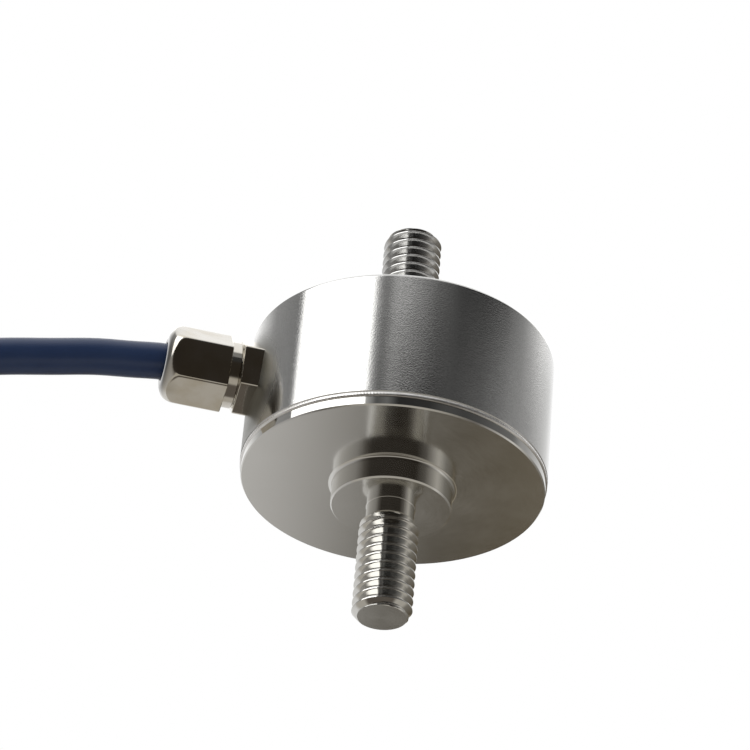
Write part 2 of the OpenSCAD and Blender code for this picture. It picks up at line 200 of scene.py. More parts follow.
def fit(piece, material, slot, *nodes):
    """Gives a piece its material, hides the solids that it stands for, and fixes it to the sensor."""
    piece.data.materials.append(material)
    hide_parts(*nodes)
    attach(piece, "root")


class Wire:
    """One output of a shader node. Arithmetic on it adds Math nodes, and add() puts in any other node."""

    def __init__(self, tree, out):
        self.tree, self.out = tree, out

    def add(self, kind, settings=(), sockets=(), output=0):
        """Adds a node of a kind. Its settings come first, then the values or links of its sockets."""
        node = self.tree.nodes.new(kind)
        for key, value in dict(settings).items():
            if key == "stops":
                ramp = node.color_ramp.elements
                while len(ramp) < len(value):
                    ramp.new(0.5)
                for stop, (place, _) in zip(ramp, value):
                    stop.position = place
                for stop, (_, colour) in zip(ramp, value):
                    stop.color = (*colour, 1) if np.ndim(colour) else (colour, colour, colour, 1)
            else:
                setattr(node, key, value)
        for key, value in dict(sockets).items():
            if isinstance(value, Wire):
                self.tree.links.new(value.out, node.inputs[key])
            else:
                node.inputs[key].default_value = value
        return Wire(self.tree, node.outputs[output])

    def math(self, operation, *others):
        """Adds a Math node that takes this wire and then the others."""
        return self.add("ShaderNodeMath", {"operation": operation}, enumerate((self, *others)))

    def __add__(self, other):
        return self.math("ADD", other)

    def __mul__(self, other):
        return self.math("MULTIPLY", other)

    def __sub__(self, other):
        return self.math("SUBTRACT", other)

    def __rsub__(self, other):
        return self.add("ShaderNodeMath", {"operation": "SUBTRACT"}, {0: other, 1: self})

    def __pow__(self, other):
        return self.math("POWER", other)

    __radd__, __rmul__ = __add__, __mul__

    def parts(self):
        """The three parts of a vector."""
        node = self.add("ShaderNodeSeparateXYZ", (), {0: self}).out.node
        return [Wire(self.tree, out) for out in node.outputs]

    def between(self, low, high, to_low=0.0, to_high=1.0):
        """Soft step from one value to another while this one goes from low to high."""
        return self.add("ShaderNodeMapRange", {"interpolation_type": "SMOOTHSTEP"},
                        {0: self, 1: low, 2: high, 3: to_low, 4: to_high})

    def noise(self, detail=2.0, scale=1.0, rough=0.5):
        """Soft noise at this place."""
        return self.add("ShaderNodeTexNoise", (), {"Vector": self, "Scale": scale, "Detail": detail,
                                                   "Roughness": rough})

    def at(self, x, y, z):
        """A vector from three values."""
        return self.add("ShaderNodeCombineXYZ", (), {0: x, 1: y, 2: z})

    def blend(self, first, second):
        """Colour between two others, with this wire as the share of the second."""
        sockets = {0: self}
        for key, colour in ((6, first), (7, second)):
            sockets[key] = colour if isinstance(colour, Wire) else (*colour, 1)
        return self.add("ShaderNodeMix", {"data_type": "RGBA"}, sockets, 2)

    def into(self, shader, key):
        """Links this wire to a socket of the shader."""
        self.tree.links.new(self.out, shader.inputs[key])


def finish(name, **values):
    """Starts a material whose uniform values sit on its shader, and gives its place on the object."""
    material = bpy.data.materials.new(name)
    material.use_nodes = True
    shader = material.node_tree.nodes["Principled BSDF"]
    for key, value in values.items():
        shader.inputs[key.replace("_", " ")].default_value = value
    place = material.node_tree.nodes.new("ShaderNodeTexCoord")
    return material, shader, Wire(material.node_tree, place.outputs["Object"])


def turned_steel(name, colour, rough, face_rough, speckle, lines, brushed):
    """Turned and ground metal: dashes that run round the Z axis, from a noise that is stretched along the
    turning direction, with a finer speckle, both in the bump and in the roughness. The flat faces across
    the axis are duller than the round ones. The wall round the gland is rougher, and its colour is darkened
    there as a painted reflection of the gland, most of all at a point 2 mm under the gland's axis; both
    clear up to 7 mm from there."""
    material, shader, place = finish(name, Metallic=1.0, Base_Color=(*colour, 1), Anisotropic=brushed,
                                     Anisotropic_Rotation=0.25)
    x, y, z = place.parts()
    r = (x * x + y * y) ** 0.5
    dashes = place.at((r + z) * 6000, x * 1300, y * 1300).noise(2)
    grain = place.noise(3, 9500, 0.6)
    stains = place.noise(3, 260)
    darker = np.multiply(colour, 1 - 0.075 * speckle)
    # Painted reflection: beside the gland the wall takes this darkened colour in place of the gland mirrored in
    # it.
    painted_reflection_colour = np.multiply(colour, (0.17, 0.165, 0.135))
    tint = (grain * 0.75 + stains * 0.25).between(0.35, 0.65).blend(colour, darker)
    on_gland_side, above_seam = x.between(-0.009, -0.008, 1.0, 0.0), z.between(-0.0136, -0.0132)
    on_wall = on_gland_side * above_seam
    from_gland = (y * y + (z - (gland_z - 2) * mm) ** 2) ** 0.5
    # Share of the painted reflection of the gland on the wall, strongest 2 mm under the gland's axis.
    painted_gland_reflection = from_gland.between(0.0036, 0.0066, 0.9, 0.0) * on_wall
    painted_gland_reflection.blend(tint, painted_reflection_colour).into(shader, "Base Color")
    tree = shader.id_data
    level = Wire(tree, tree.nodes["Texture Coordinate"].outputs["Normal"]).parts()[2]
    dull = level.math("ABSOLUTE").between(0.8, 0.95) * (face_rough - rough) + rough
    matt = from_gland.between(0.0046, 0.0068, 0.26, 0.0) * on_wall
    (dull * (dashes * 0.3 + stains * 0.4 + 0.65) + matt).into(shader, "Roughness")
    relief = dashes * lines + grain * speckle
    place.add("ShaderNodeBump", (), {"Distance": 2e-6, "Height": relief}).into(shader, "Normal")
    return material


stud_end = stud_l - stud_chamfer
upper_thread = threaded(0, stud_l, [(0, crest_r), (stud_end, crest_r), (stud_l, crest_r - stud_chamfer)],
                        [(0, 0), (0.3, 0), (1.1, 1), (stud_l, 1)])
housing = skin("steel_can", [
    turned(outline([(bore_r, seam_z), (body_r - seam_chamfer, seam_z), (body_r, seam_z + seam_chamfer)])),
    *drilled_wall(body_r, rim_r, [seam_z + seam_chamfer, -13.17, -11.9],
                  [-2.5, top_z - edge_r - 0.03, top_z - edge_r], 3.9),
    turned(outline(arc(body_r - edge_r, top_z - edge_r, edge_r, 0, 90),
                   arc(boss_r + boss_fillet, top_z + boss_fillet, boss_fillet, 270, 180),
                   [(boss_r, -boss_chamfer), (boss_r - boss_chamfer, 0), (crest_r, 0)])),
    upper_thread,
    closing_disc(upper_thread[-1]),
    gland_hole(),
    *drilled_wall(bore_r, shank_hole_r, [seam_z, -11.5], [roof_z], 2.6),
    turned(outline([(bore_r, roof_z), (0, roof_z)])),
])
ground_steel = turned_steel("ground_steel", (0.62, 0.615, 0.60), rough=0.07, face_rough=0.14, speckle=2.4,
                            lines=0.3, brushed=0.0)
fit(housing, ground_steel, "housing_steel", "housing")


# Measuring element
# Turned from a second piece of the same steel: stiff rim and locating ring, thin web that bends under load,
# stiff centre, and below it the boss, the relief groove and the lower stud. Its lower face is turned finer.
disc_r, face_z, disc_h = 12.375, -14.45, 1.0
face_chamfer, side_taper = 0.12, 0.025
ring_r, ring_h = 9.95, 3.4
web_r, web_t, web_fillet = 8.6, 1.1, 0.4
hub_r, hub_h = 4.0, 2.4
relief_r, relief_l, relief_fillet = 1.95, 1.75, 0.05
boss_z = face_z - boss_h
end_z = boss_z - stud_l
thread_z = boss_z - relief_l
run_in_z = thread_z + crest_r - root_r
lower_thread = threaded(end_z, run_in_z,
                        [(end_z, crest_r - stud_chamfer), (end_z + stud_chamfer, crest_r),
                         (thread_z, crest_r), (run_in_z, root_r)],
                        [(end_z, 1), (run_in_z, 1)])
measuring_element = skin("steel_element", [
    turned(np.add((0, face_z), outline(
        [(0, hub_h), (hub_r, hub_h)],
        arc(hub_r + web_fillet, web_t + web_fillet, web_fillet, 180, 270),
        arc(web_r - web_fillet, web_t + web_fillet, web_fillet, 270, 360),
        [(web_r, ring_h), (ring_r, ring_h), (ring_r, disc_h), (disc_r - seam_chamfer, disc_h),
         (disc_r, disc_h - seam_chamfer), (disc_r - side_taper, face_chamfer), (disc_r - face_chamfer, 0)],
        arc(boss_r + boss_fillet, -boss_fillet, boss_fillet, 90, 180),
        [(boss_r, boss_chamfer - boss_h), (boss_r - boss_chamfer, -boss_h)],
        arc(relief_r + relief_fillet, -boss_h - relief_fillet, relief_fillet, 90, 180),
        [(relief_r, thread_z + crest_r - relief_r - face_z), (root_r, run_in_z - face_z)]))),
    lower_thread,
    closing_disc(lower_thread[0]),
])
lapped_steel = turned_steel("lapped_steel", (0.65, 0.64, 0.61), rough=0.05, face_rough=0.14, speckle=0.03,
                            lines=0.03, brushed=0.45)
fit(measuring_element, lapped_steel, "element_steel", "measuring_element")


# Seam weld
# Laser weld that closes the groove between the two chamfers: one spot laid over the other all round.
spots, spot_depth, spot_bow = 300, 0.008, 0.012
weld_around = np.linspace(0, 2 * pi, spots * 5 + 1)
weld_across = np.linspace(0, 1, 9)[:, None]
weld_up = np.array([-.21, -.19, -.15, -.09, -.03, .04, .11, .17, .2])[:, None]
weld_r = np.array([12.33, 12.4, 12.46, 12.49, 12.497, 12.485, 12.47, 12.45, 12.43])[:, None]
back_up = np.array([0.2, 0, 0, -0.21])[:, None]
back_r = np.array([weld_r[-1, 0], body_r - seam_chamfer, disc_r - seam_chamfer, weld_r[0, 0]])[:, None]


def rippled():
    """Radius of the bead: its section goes round the seam, and one wave a spot, whose crests bow like the
    rim of a spot, is laid on it together with a slow unevenness. The waves fade out at both edges."""
    spot = np.cos(spots * (weld_around + spot_bow * (2 * weld_across - 1) ** 2))
    uneven = 0.4 * np.cos(37 * weld_around)
    return weld_r + spot_depth * (spot + uneven - 1.4) * np.sin(pi * weld_across)


def weld_sheet(r, up):
    """Ring whose radius r and height `up` over the seam change along and across it."""
    return grid(r * np.cos(weld_around), r * np.sin(weld_around), seam_z + up)


seam_weld = skin("weld_bead", [weld_sheet(rippled(), weld_up), weld_sheet(back_r, back_up)], 50)
weld_finish, shader, place = finish("laser_weld", Metallic=1.0, Roughness=0.3)
place.noise(2, 900).blend((0.86, 0.85, 0.84), (0.6, 0.58, 0.55)).into(shader, "Base Color")
place.add("ShaderNodeBump", (), {"Distance": 1.5e-5, "Height": place.noise(2, 6000)}).into(shader, "Normal")
fit(seam_weld, weld_finish, "weld_steel", "seam_weld")


# Strain gauges
# Foil gauges bonded on the web at four places: an amber film with a fine copper-nickel grid in it, whose
# strips run along the radius.
gauge_r = 6.3


def coat(node, material):
    """Gives its material to a solid that is kept as the source made it."""
    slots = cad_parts[node].data.materials
    slots.clear()
    slots.append(material)


gauge_finish, shader, place = finish("gauge_foil", Roughness=0.35, Coat_Weight=0.3)
x, y, z = place.parts()
along = (x.math("ABSOLUTE") + y.math("ABSOLUTE")) * (sqrt(0.5) * 1000)
across = (x.math("ABSOLUTE") - y.math("ABSOLUTE")) * (sqrt(0.5) * 1000)
strips = (across * 25).math("SINE").between(-0.2, 0.2)
in_length = (along - gauge_r).math("ABSOLUTE").between(0.95, 1.0, 1.0, 0.0)
in_width = across.math("ABSOLUTE").between(0.68, 0.72, 1.0, 0.0)
foil = strips * in_length * in_width
foil.blend((0.55, 0.22, 0.05), (0.72, 0.55, 0.4)).into(shader, "Base Color")
(foil * 0.9).into(shader, "Metallic")
for k in range(1, 5):
    coat(f"strain_gauge_{k}", gauge_finish)


# Terminal board
# Glass-fibre board with green solder mask over copper tracks, seated on the locating ring. Four gilded pins
# take the cable's cores, and enamelled wires come up from the gauges.
board_finish, shader, place = finish("solder_mask", Roughness=0.3, Coat_Weight=0.4)
x, y, z = place.parts()
rings = (((x * x + y * y) ** 0.5) * 1000).math("PINGPONG", 0.55)
tracks = rings.between(0.16, 0.2, 1.0, 0.0) * place.noise(0, 240).between(0.46, 0.5)
weave = place.at(x * 4000, y * 4000, 0).noise(1)
(tracks * 0.8 + weave * 0.2).blend((0.01, 0.09, 0.035), (0.03, 0.2, 0.07)).into(shader, "Base Color")
place.add("ShaderNodeBump", (), {"Distance": 2e-5, "Height": tracks}).into(shader, "Normal")
coat("terminal_board", board_finish)
for node, name, colour in (("terminal_pins", "gilt_pin", (0.95, 0.68, 0.26)),
                           ("gauge_wires", "enamelled_copper", (0.78, 0.3, 0.13))):
    wire_finish, shader, place = finish(name, Metallic=1.0)
    wear = place.noise(3, 1500)
    wear.blend(colour, tuple(c * 0.75 for c in colour)).into(shader, "Base Color")
    (wear * 0.15 + 0.14).into(shader, "Roughness")
    coat(node, wire_finish)


# Trimming resistors
# Three chip resistors that balance the bridge, soldered on the board: a black glazed body with a tinned cap
# at each end.
for k, turn in ((1, 60), (2, 0), (3, -60)):
    chip_finish, shader, place = finish(f"chip_resistor_{k}")
    x, y, z = place.parts()
    from_middle = (y * (cos(radians(turn)) * 1000) - x * (sin(radians(turn)) * 1000)).math("ABSOLUTE")
    cap = from_middle.between(0.58, 0.62)
    cap.blend((0.012, 0.012, 0.014), (0.7, 0.69, 0.66)).into(shader, "Base Color")
    cap.into(shader, "Metallic")
    (place.noise(2, 6000) * 0.2 + 0.25).into(shader, "Roughness")
    coat(f"trim_resistor_{k}", chip_finish)


# Cable cores
# Four insulated cores, red, black, green and white, from the cable's end inside the housing to the pins.
core_colours = {"red": (0.52, 0.02, 0.015), "black": (0.012, 0.012, 0.013), "green": (0.015, 0.22, 0.05),
                "white": (0.78, 0.77, 0.74)}


def core_insulation(colour_name):
    """Smooth extruded insulation with a faint grain."""
    material, shader, place = finish(f"core_{colour_name}", Roughness=0.32)
    colour = core_colours[colour_name]
    place.noise(3, 1200).blend(colour, tuple(c * 0.8 for c in colour)).into(shader, "Base Color")
    place.add("ShaderNodeBump", (), {"Distance": 3e-6, "Height": place.noise(2, 5000)}).into(shader, "Normal")
    return material


insulation = {colour: core_insulation(colour) for colour in core_colours}
for colour, material in insulation.items():
    coat(f"core_{colour}", material)


# Gland body
# Nickel-plated brass, screwed into the housing's wall: threaded shank, narrow hexagon on the milled seat,
# threaded neck for the cap nut, and a bore for the cable that widens for the seal.
hex_af, hex_edge_r = 5.7, 3.245
shank_s, seat_s, hex_end_s, neck_end_s = 9.4, 12.048, 13.688, 16.888
seal_s, press_s, press_end_s = 15.488, 17.488, 18.288
shank_r, neck_r, seal_r, cable_hole_r = 2.5, 2.3, 2.05, 1.6
inner_turn, nut_turn = 10.7, 18.2
half_side = np.array([0, .5, 1, 1.5, 2, 2.6, 4, 7, 12, 18, 24, 30])
from_corner = np.concatenate([half_side, 60 - half_side[-2:0:-1]])
hex_around = np.radians(np.append((np.arange(6)[:, None] * 60 + from_corner).ravel(), 360))


def along_gland(s, r, turn):
    """Points at distance s from the stud axis and radius r from the gland's axis, with the first column
    turned from upright towards the front."""
    a = hex_around + radians(turn)
    return grid(-s, -r * np.sin(a), gland_z + r * np.cos(a))


def hexagon():
    """Radius of a hexagon bar at each angle, softly cut at the corners by a cylinder."""
    flat = hex_af / 2 / np.cos(np.abs(hex_around % (pi / 3) - pi / 6))
    return (flat + hex_edge_r - np.sqrt((flat - hex_edge_r) ** 2 + 0.02 ** 2)) / 2


def gland_tube(profile, turn):
    """Round surfaces of the gland: each point (s, r) of the outline is carried round the gland's axis."""
    s, r = np.asarray(profile, float).T[:, :, None]
    return along_gland(s, r, turn)


hex_rows = np.array([(seat_s, 0), (seat_s + 0.3, 0), (seat_s + 0.6, 0),
                     (hex_end_s - 0.09, 0), (hex_end_s - 0.06, 0), (hex_end_s - 0.02, 0.02),
                     (hex_end_s, 0.07), (hex_end_s, 0.12)])
gland_body = skin("plated_gland", [
    gland_tube(outline([(shank_s, cable_hole_r), (shank_s, shank_r - 0.2), (shank_s + 0.2, shank_r),
                        (seat_s, shank_r)]), inner_turn),
    np.stack([along_gland(seat_s, shank_r, inner_turn)]
             + [along_gland(s, hexagon() - cut, inner_turn) for s, cut in hex_rows]
             + [along_gland(hex_end_s, neck_r, inner_turn)]),
    gland_tube(outline([(hex_end_s, neck_r), (neck_end_s - 0.2, neck_r), (neck_end_s, neck_r - 0.2),
                        (neck_end_s, seal_r), (seal_s, seal_r), (seal_s, cable_hole_r),
                        (shank_s, cable_hole_r)]), inner_turn),
])


def plated(name, colour):
    """Bright nickel plating on turned brass: a trace of warm stain and very fine scratches. The cap nut's end
    is darkened round the hole that the cable comes out of: painted reflection and shade of the dark cable."""
    material, shader, place = finish(name, Metallic=1.0)
    x, y, z = place.parts()
    stains = place.noise(3, 420)
    lines = place.at(x * 9000, y * 1500, z * 1500).noise(2)
    plate = stains.between(0.35, 0.75).blend(colour, np.multiply(colour, (0.86, 0.82, 0.74)))
    # Painted reflection and shade of the dark cable: the nut's end turns near black round the cable's hole.
    at_end = x.between(-0.0192, -0.0182, 0.93, 0.0)
    near_hole = ((y * y + (z - gland_z * mm) ** 2) ** 0.5).between(0.0021, 0.0031, 1.0, 0.0)
    painted_cable_reflection = at_end * near_hole
    painted_cable_reflection.blend(plate, (0.03, 0.028, 0.025)).into(shader, "Base Color")
    (stains * 0.08 + lines * 0.06 + 0.04).into(shader, "Roughness")
    place.add("ShaderNodeBump", (), {"Distance": 6e-7, "Height": lines}).into(shader, "Normal")
    return material


nickel = plated("nickel_plating", (0.66, 0.635, 0.585))
fit(gland_body, nickel, "gland_nickel", "gland_body")


# Seals and pressure ring
# A black rubber ring in the recess under the hexagon, a rubber sleeve round the cable inside the gland, and a
# brass ring through which the cap nut presses on that sleeve.
rubber, shader, place = finish("seal_rubber", Roughness=0.6)
place.noise(3, 2500).blend((0.018, 0.018, 0.018), (0.03, 0.03, 0.031)).into(shader, "Base Color")
place.add("ShaderNodeBump", (), {"Distance": 8e-6, "Height": place.noise(2, 7000)}).into(shader, "Normal")
for node in ("gland_o_ring", "seal_sleeve"):
    coat(node, rubber)
coat("pressure_ring", plated("bare_brass", (0.82, 0.6, 0.28)))


# Cap nut
# Nickel-plated brass, turned from hexagon bar: round collar, hexagon and domed end with the cable's hole.
nut_s, collar_end_s, nut_end_s = 13.768, 14.628, 19.788
collar_r, nut_bore_r, dome_r = 2.725, 2.34, 1.5
corner_r = hex_af / sqrt(3)
dome = arc(nut_end_s - dome_r, corner_r - dome_r, dome_r, 90, 0, 26)
well_outside = 9.0
dome_rows = np.vstack([[(collar_end_s, well_outside), (collar_end_s + 0.05, well_outside),
                        (collar_end_s + 0.1, well_outside), (nut_end_s - dome_r - 0.4, well_outside),
                        (nut_end_s - dome_r - 0.1, corner_r + 0.02)], dome])


def capped(s, r):
    """The hexagon where it is smaller than the dome's radius r, the dome elsewhere, with a soft edge
    between them and a small rounding beside the collar."""
    flat = hexagon() - 0.05 * max(0.0, 1 - (s - collar_end_s) / 0.05)
    return along_gland(s, (flat + r - np.sqrt((flat - r) ** 2 + 0.03 ** 2)) / 2, nut_turn)


cap_nut = skin("plated_nut", [
    gland_tube(outline([(nut_s, nut_bore_r), (nut_s, collar_r - 0.08), (nut_s + 0.08, collar_r),
                        (collar_end_s, collar_r)]), nut_turn),
    np.stack([along_gland(collar_end_s, collar_r, nut_turn), *[capped(s, r) for s, r in dome_rows],
              along_gland(nut_end_s, cable_hole_r + 0.05, nut_turn)]),
    gland_tube(outline([(nut_end_s, cable_hole_r + 0.05), (nut_end_s - 0.05, cable_hole_r),
                        (press_end_s, cable_hole_r), (press_end_s, seal_r), (press_s, seal_r),
                        (press_s, nut_bore_r), (nut_s, nut_bore_r)]), nut_turn),
])
fit(cap_nut, nickel, "gland_nickel", "cap_nut")


# Cable
# Round cable of 3 mm with a dark blue jacket, 1.5 m long. It leaves the gland, sinks under its own weight and
# is wound into a hanging coil of two layers, from which it goes down to its stripped end.
cable_r = 1.5
coil_x, coil_y, coil_z = -45.0, 19.0, -30.0
cable_route = [[-9.1, 0, gland_z], [-12, 0, gland_z], [-15, 0, gland_z], [-17.5, 0, gland_z],
               [-nut_end_s, 0, gland_z], [-22.2, 0, -7.2], [-25, 0, -7.6], [-28.5, 0, -8.4], [-32, 0, -9.2],
               [-35.5, 0, -10.3], [-38.8, 0, -12.1], [-41.6, 0, -14.6], [-43.6, 0, -17.8], [-44.7, 0, -21.4],
               [-45, 0, -25.2], [-45, 0, -30]]
tail_route = [[-48, 0, -30], [-48, 0, -36], [-48, -0.4, -41], [-48, -1.2, -46], [-48, -2.8, -55]]
turns = 13
shifts = [(0.85, 1, 3), (1.85, 2, 3), *[(k + 0.5, k + 0.7, -3) for k in range(3, 9)],
          *[(k + 0.1, k + 0.3, 3) for k in range(10, 13)]]
layer_changes = [(2.7, 2.9, -3), (9.3, 9.5, 3)]


def eased(turn, steps):
    """Sum of soft steps: each goes from 0 to its height, along half a cosine, between two turn counts."""
    return sum(h * (1 - np.cos(pi * np.clip((turn - a) / (b - a), 0, 1))) / 2 for a, b, h in steps)


def wound(turn):
    """Point of the winding at a turn count: round the coil's middle, in the layer and the column there."""
    r = coil_y + eased(turn, layer_changes)
    return np.stack([coil_x + eased(turn, shifts), coil_y - r * np.cos(2 * pi * turn),
                     coil_z - r * np.sin(2 * pi * turn)], axis=-1)


def smooth_line(route, step):
    """Smooth line through the points of a route: a natural cubic spline over the distance between them."""
    route = np.asarray(route, float)
    at = np.append(0, np.cumsum(np.linalg.norm(np.diff(route, axis=0), axis=1)))
    h = np.diff(at)[:, None]
    n = len(route)
    system = np.eye(n)
    i = np.arange(1, n - 1)
    system[i, i - 1], system[i, i], system[i, i + 1] = h[:-1, 0], 2 * (h[:-1, 0] + h[1:, 0]), h[1:, 0]
    load = np.zeros((n, 3))
    load[1:-1] = 6 * (np.diff(route[1:], axis=0) / h[1:] - np.diff(route[:-1], axis=0) / h[:-1])
    bend = np.linalg.solve(system, load)
    t = np.linspace(0, at[-1], int(at[-1] / step) + 1)
    k = np.clip(np.searchsorted(at, t, "right") - 1, 0, n - 2)
    a, b = (at[k + 1] - t)[:, None], (t - at[k])[:, None]
    hk = h[k]
    return (bend[k] * a ** 3 + bend[k + 1] * b ** 3) / (6 * hk) \
        + (route[k] / hk - bend[k] * hk / 6) * a + (route[k + 1] / hk - bend[k + 1] * hk / 6) * b


def swept(line, first_stretch, radius):
    """Round tube along a line. Each ring lies across the line: in the first stretch, which stays in the XZ
    plane, it starts from the direction at right angles to Y, and further on from the one nearest to X."""
    ahead = np.gradient(line, axis=0)
    ahead /= np.linalg.norm(ahead, axis=1, keepdims=True)
    level = np.cross(ahead, (0, 1, 0))
    inward = np.array((1.0, 0, 0)) - ahead * ahead[:, :1]
    level = np.where(np.arange(len(line))[:, None] < first_stretch, level, inward)
    level /= np.linalg.norm(level, axis=1, keepdims=True)
    aside = np.cross(ahead, level)
    a = np.linspace(0, 2 * pi, 25)
    return line[:, None] + radius * (np.cos(a)[:, None] * level[:, None]
                                     + np.sin(a)[:, None] * aside[:, None])


free = smooth_line(cable_route, 0.8)
coil = wound(np.linspace(0, turns, turns * 84 + 1))
tail = smooth_line(tail_route, 0.8)
centreline = np.vstack([free[:-1], coil, tail[1:]])
jacket_tube = swept(centreline, len(free), cable_r)
cable = skin("blue_cable", [jacket_tube, closing_disc(jacket_tube[0]), closing_disc(jacket_tube[-1])], 40)
jacket, shader, place = finish("cable_jacket", Specular_IOR_Level=0.36, Coat_Weight=0.06, Coat_Roughness=0.2)
cloud = place.noise(3, 300)
grain = place.noise(2, 5000)
cloud.blend((0.007, 0.017, 0.05), (0.011, 0.024, 0.064)).into(shader, "Base Color")
(cloud * 0.14 + grain * 0.08 + 0.24).into(shader, "Roughness")
place.add("ShaderNodeBump", (), {"Distance": 3e-6, "Height": grain}).into(shader, "Normal")
fit(cable, jacket, "cable_jacket", "clamped_cable", "cable", "cable_coil", "cable_tail")


# Coil ties
# Two black cable ties of nylon round the coil's bundle: a ribbed strap that closes on itself, a square lock
# on the outer side and the cut end of the strap that stands out of it.
tie_w, tie_t, bend_r = 2.5, 1.0, 1.2
bundle_w, bundle_h = 21.0, 6.2
lock_sunk, lock_top = -0.05, 2.19
tie_x, tie_y, tie_mid_r = -48.0, 19.0, 17.5


def strap(side):
    """Strap carried round a rounded rectangle, the bundle's outline: each corner of it turns the strap's
    section by a quarter circle. The section is flat inside and has a raised rib along both edges outside."""
    quarter = np.radians(np.linspace(0, 90, 13))
    corner = np.stack([np.cos(quarter), np.sin(quarter)], axis=-1)
    quarters = [corner @ np.array([[cos(a), sin(a)], [-sin(a), cos(a)]]) for a in np.arange(4) * pi / 2]
    outward = np.vstack([*quarters, quarters[0][:1]])
    centres = np.repeat([(1, 1), (-1, 1), (-1, -1), (1, -1)], 13, axis=0)
    centres = np.vstack([centres, centres[:1]]) * (bundle_w / 2 - bend_r, bundle_h / 2 - bend_r)
    section = np.array([(-1, 0), (-.96, .04), (.96, .04), (1, 0), (1, .9), (.9, 1), (.6, 1), (.55, .88),
                        (-.55, .88), (-.6, 1), (-.9, 1), (-1, .9), (-1, 0)])
    loop = centres[:, None] + outward[:, None] * (bend_r + section[:, 1] * tie_t)[:, None]
    return grid(tie_x + loop[..., 0], tie_y + section[:, 0] * tie_w / 2,
                coil_z + side * (tie_mid_r + loop[..., 1]))


def rounded_block(low, high, radius):
    """Block with rounded edges: a sphere's points are pushed out to the block's corners, shrunk by the
    radius."""
    a = np.linspace(0, 2 * pi, 41)
    b = np.linspace(-pi / 2, pi / 2, 21)[:, None]
    ball = grid(np.cos(b) * np.cos(a), np.cos(b) * np.sin(a), np.sin(b))
    middle, half = np.add(low, high) / 2, np.subtract(high, low) / 2
    return middle + np.sign(np.round(ball, 6)) * (half - radius) + ball * radius


nylon, shader, place = finish("tie_nylon", Roughness=0.4)
place.noise(2, 2500).blend((0.014, 0.014, 0.015), (0.024, 0.024, 0.026)).into(shader, "Base Color")
place.add("ShaderNodeBump", (), {"Distance": 4e-6, "Height": place.noise(2, 4000)}).into(shader, "Normal")
ties = []
for name, side in (("coil_tie_top", 1), ("coil_tie_bottom", -1)):
    strap_r = tie_mid_r + bundle_h / 2 + tie_t
    low, high = sorted(coil_z + side * (strap_r + height) for height in (lock_sunk, lock_top))
    middle = np.array((tie_x, tie_y, (low + high) / 2))
    lock = rounded_block((tie_x - 2, tie_y - 1.75, low), (tie_x + 2, tie_y + 1.75, high), 0.3)
    cut_end = rounded_block(middle + (1.5, -1.1, -0.45), middle + (3.6, 1.1, 0.45), 0.15)
    tie = skin(f"nylon_{name}", [strap(side), lock, cut_end])
    fit(tie, nylon, "tie_black", name)
    ties.append(tie)


# End sleeve
# Black shrink sleeve over the end of the jacket: it has shrunk tighter where the jacket ends.
sleeve_start, sleeve_end = -7.0, 3.0
sleeve_r, sleeve_bore_r, shrunk, rim = 1.87, 1.56, 0.12, 0.1
cable_end = np.array(tail_route[-1], float)
last = cable_end - tail_route[-2]
last /= np.linalg.norm(last)
side_1 = np.array((1.0, 0, 0))
side_2 = np.cross(last, side_1)


def at_cable_end(profile, wobble):
    """Round surface about the line of the cable's end: each point (s, r) of the outline lies at distance s
    beyond the jacket's end. The radius swells and shrinks by the share `wobble` along and round it."""
    s, r = np.asarray(profile, float).T[:, :, None]
    a = np.linspace(0, 2 * pi, 49)
    r = r * (1 + wobble * np.sin(3 * a + s) * np.sin(5 * s))
    return cable_end + s[..., None] * last + r[..., None] * (np.cos(a)[:, None] * side_1
                                                             + np.sin(a)[:, None] * side_2)


s = np.linspace(sleeve_start, sleeve_end, 40)
at_rim = np.abs(s - (sleeve_start + sleeve_end) / 2) > 4.9
sleeve_outer = np.stack([s, sleeve_r - shrunk / (1 + np.exp(-(s - 0.6) * 3)) - rim * at_rim], axis=-1)
sleeve_inner = [(sleeve_end, sleeve_bore_r), (sleeve_start, sleeve_bore_r), sleeve_outer[0]]
end_sleeve = skin("black_sleeve", [at_cable_end(np.vstack([sleeve_outer, sleeve_inner]), 0.008)], 40)
shrink, shader, place = finish("shrink_sleeve", Roughness=0.48)
place.noise(2, 1500).blend((0.012, 0.012, 0.013), (0.022, 0.022, 0.023)).into(shader, "Base Color")
place.add("ShaderNodeBump", (), {"Distance": 1e-5, "Height": place.noise(2, 1800)}).into(shader, "Normal")
fit(end_sleeve, shrink, "shrink_black", "end_sleeve")


# Stripped leads
# The four cores stand out of the sleeve, each stripped at its tip to its tinned strands, and beside them the
# shield's strands are twisted into a bare drain wire.
lead_l, strip_l, core_r, copper_r, drain_r = 28.0, 6.0, 0.4, 0.27, 0.36
lean, turn_between, ring_of_leads_r = radians(5), radians(72), 0.75
tip_s = lead_l - strip_l
tinned, shader, place = finish("tinned_strands", Metallic=1.0, Roughness=0.3)
place.noise(2, 2500).blend((0.72, 0.71, 0.69), (0.5, 0.48, 0.45)).into(shader, "Base Color")
place.add("ShaderNodeBump", (), {"Distance": 4e-6, "Height": place.noise(2, 6000)}).into(shader, "Normal")


def lead(k, profile, strands):
    """Straight wire that leans out of the sleeve: each point (s, r, share) of the outline goes round the
    wire's line, and `share` of it has the twist of its strands, r times one plus a small wave."""
    s, r, share = np.asarray(profile, float).T[:, :, None]
    out = cos(turn_between * k) * side_1 + sin(turn_between * k) * side_2
    aside = np.cross(last, out)
    ahead = cos(lean) * last + sin(lean) * out
    across = cos(lean) * out - sin(lean) * last
    start = cable_end + ring_of_leads_r * out + 0.035 * last
    a = np.linspace(0, 2 * pi, 43)
    r = r * (1 + share * 0.12 * (np.abs(np.cos(strands / 2 * (a - 1.6 * s))) - 0.6))
    return start + s[..., None] * ahead + r[..., None] * (np.cos(a)[:, None] * across
                                                          + np.sin(a)[:, None] * aside)


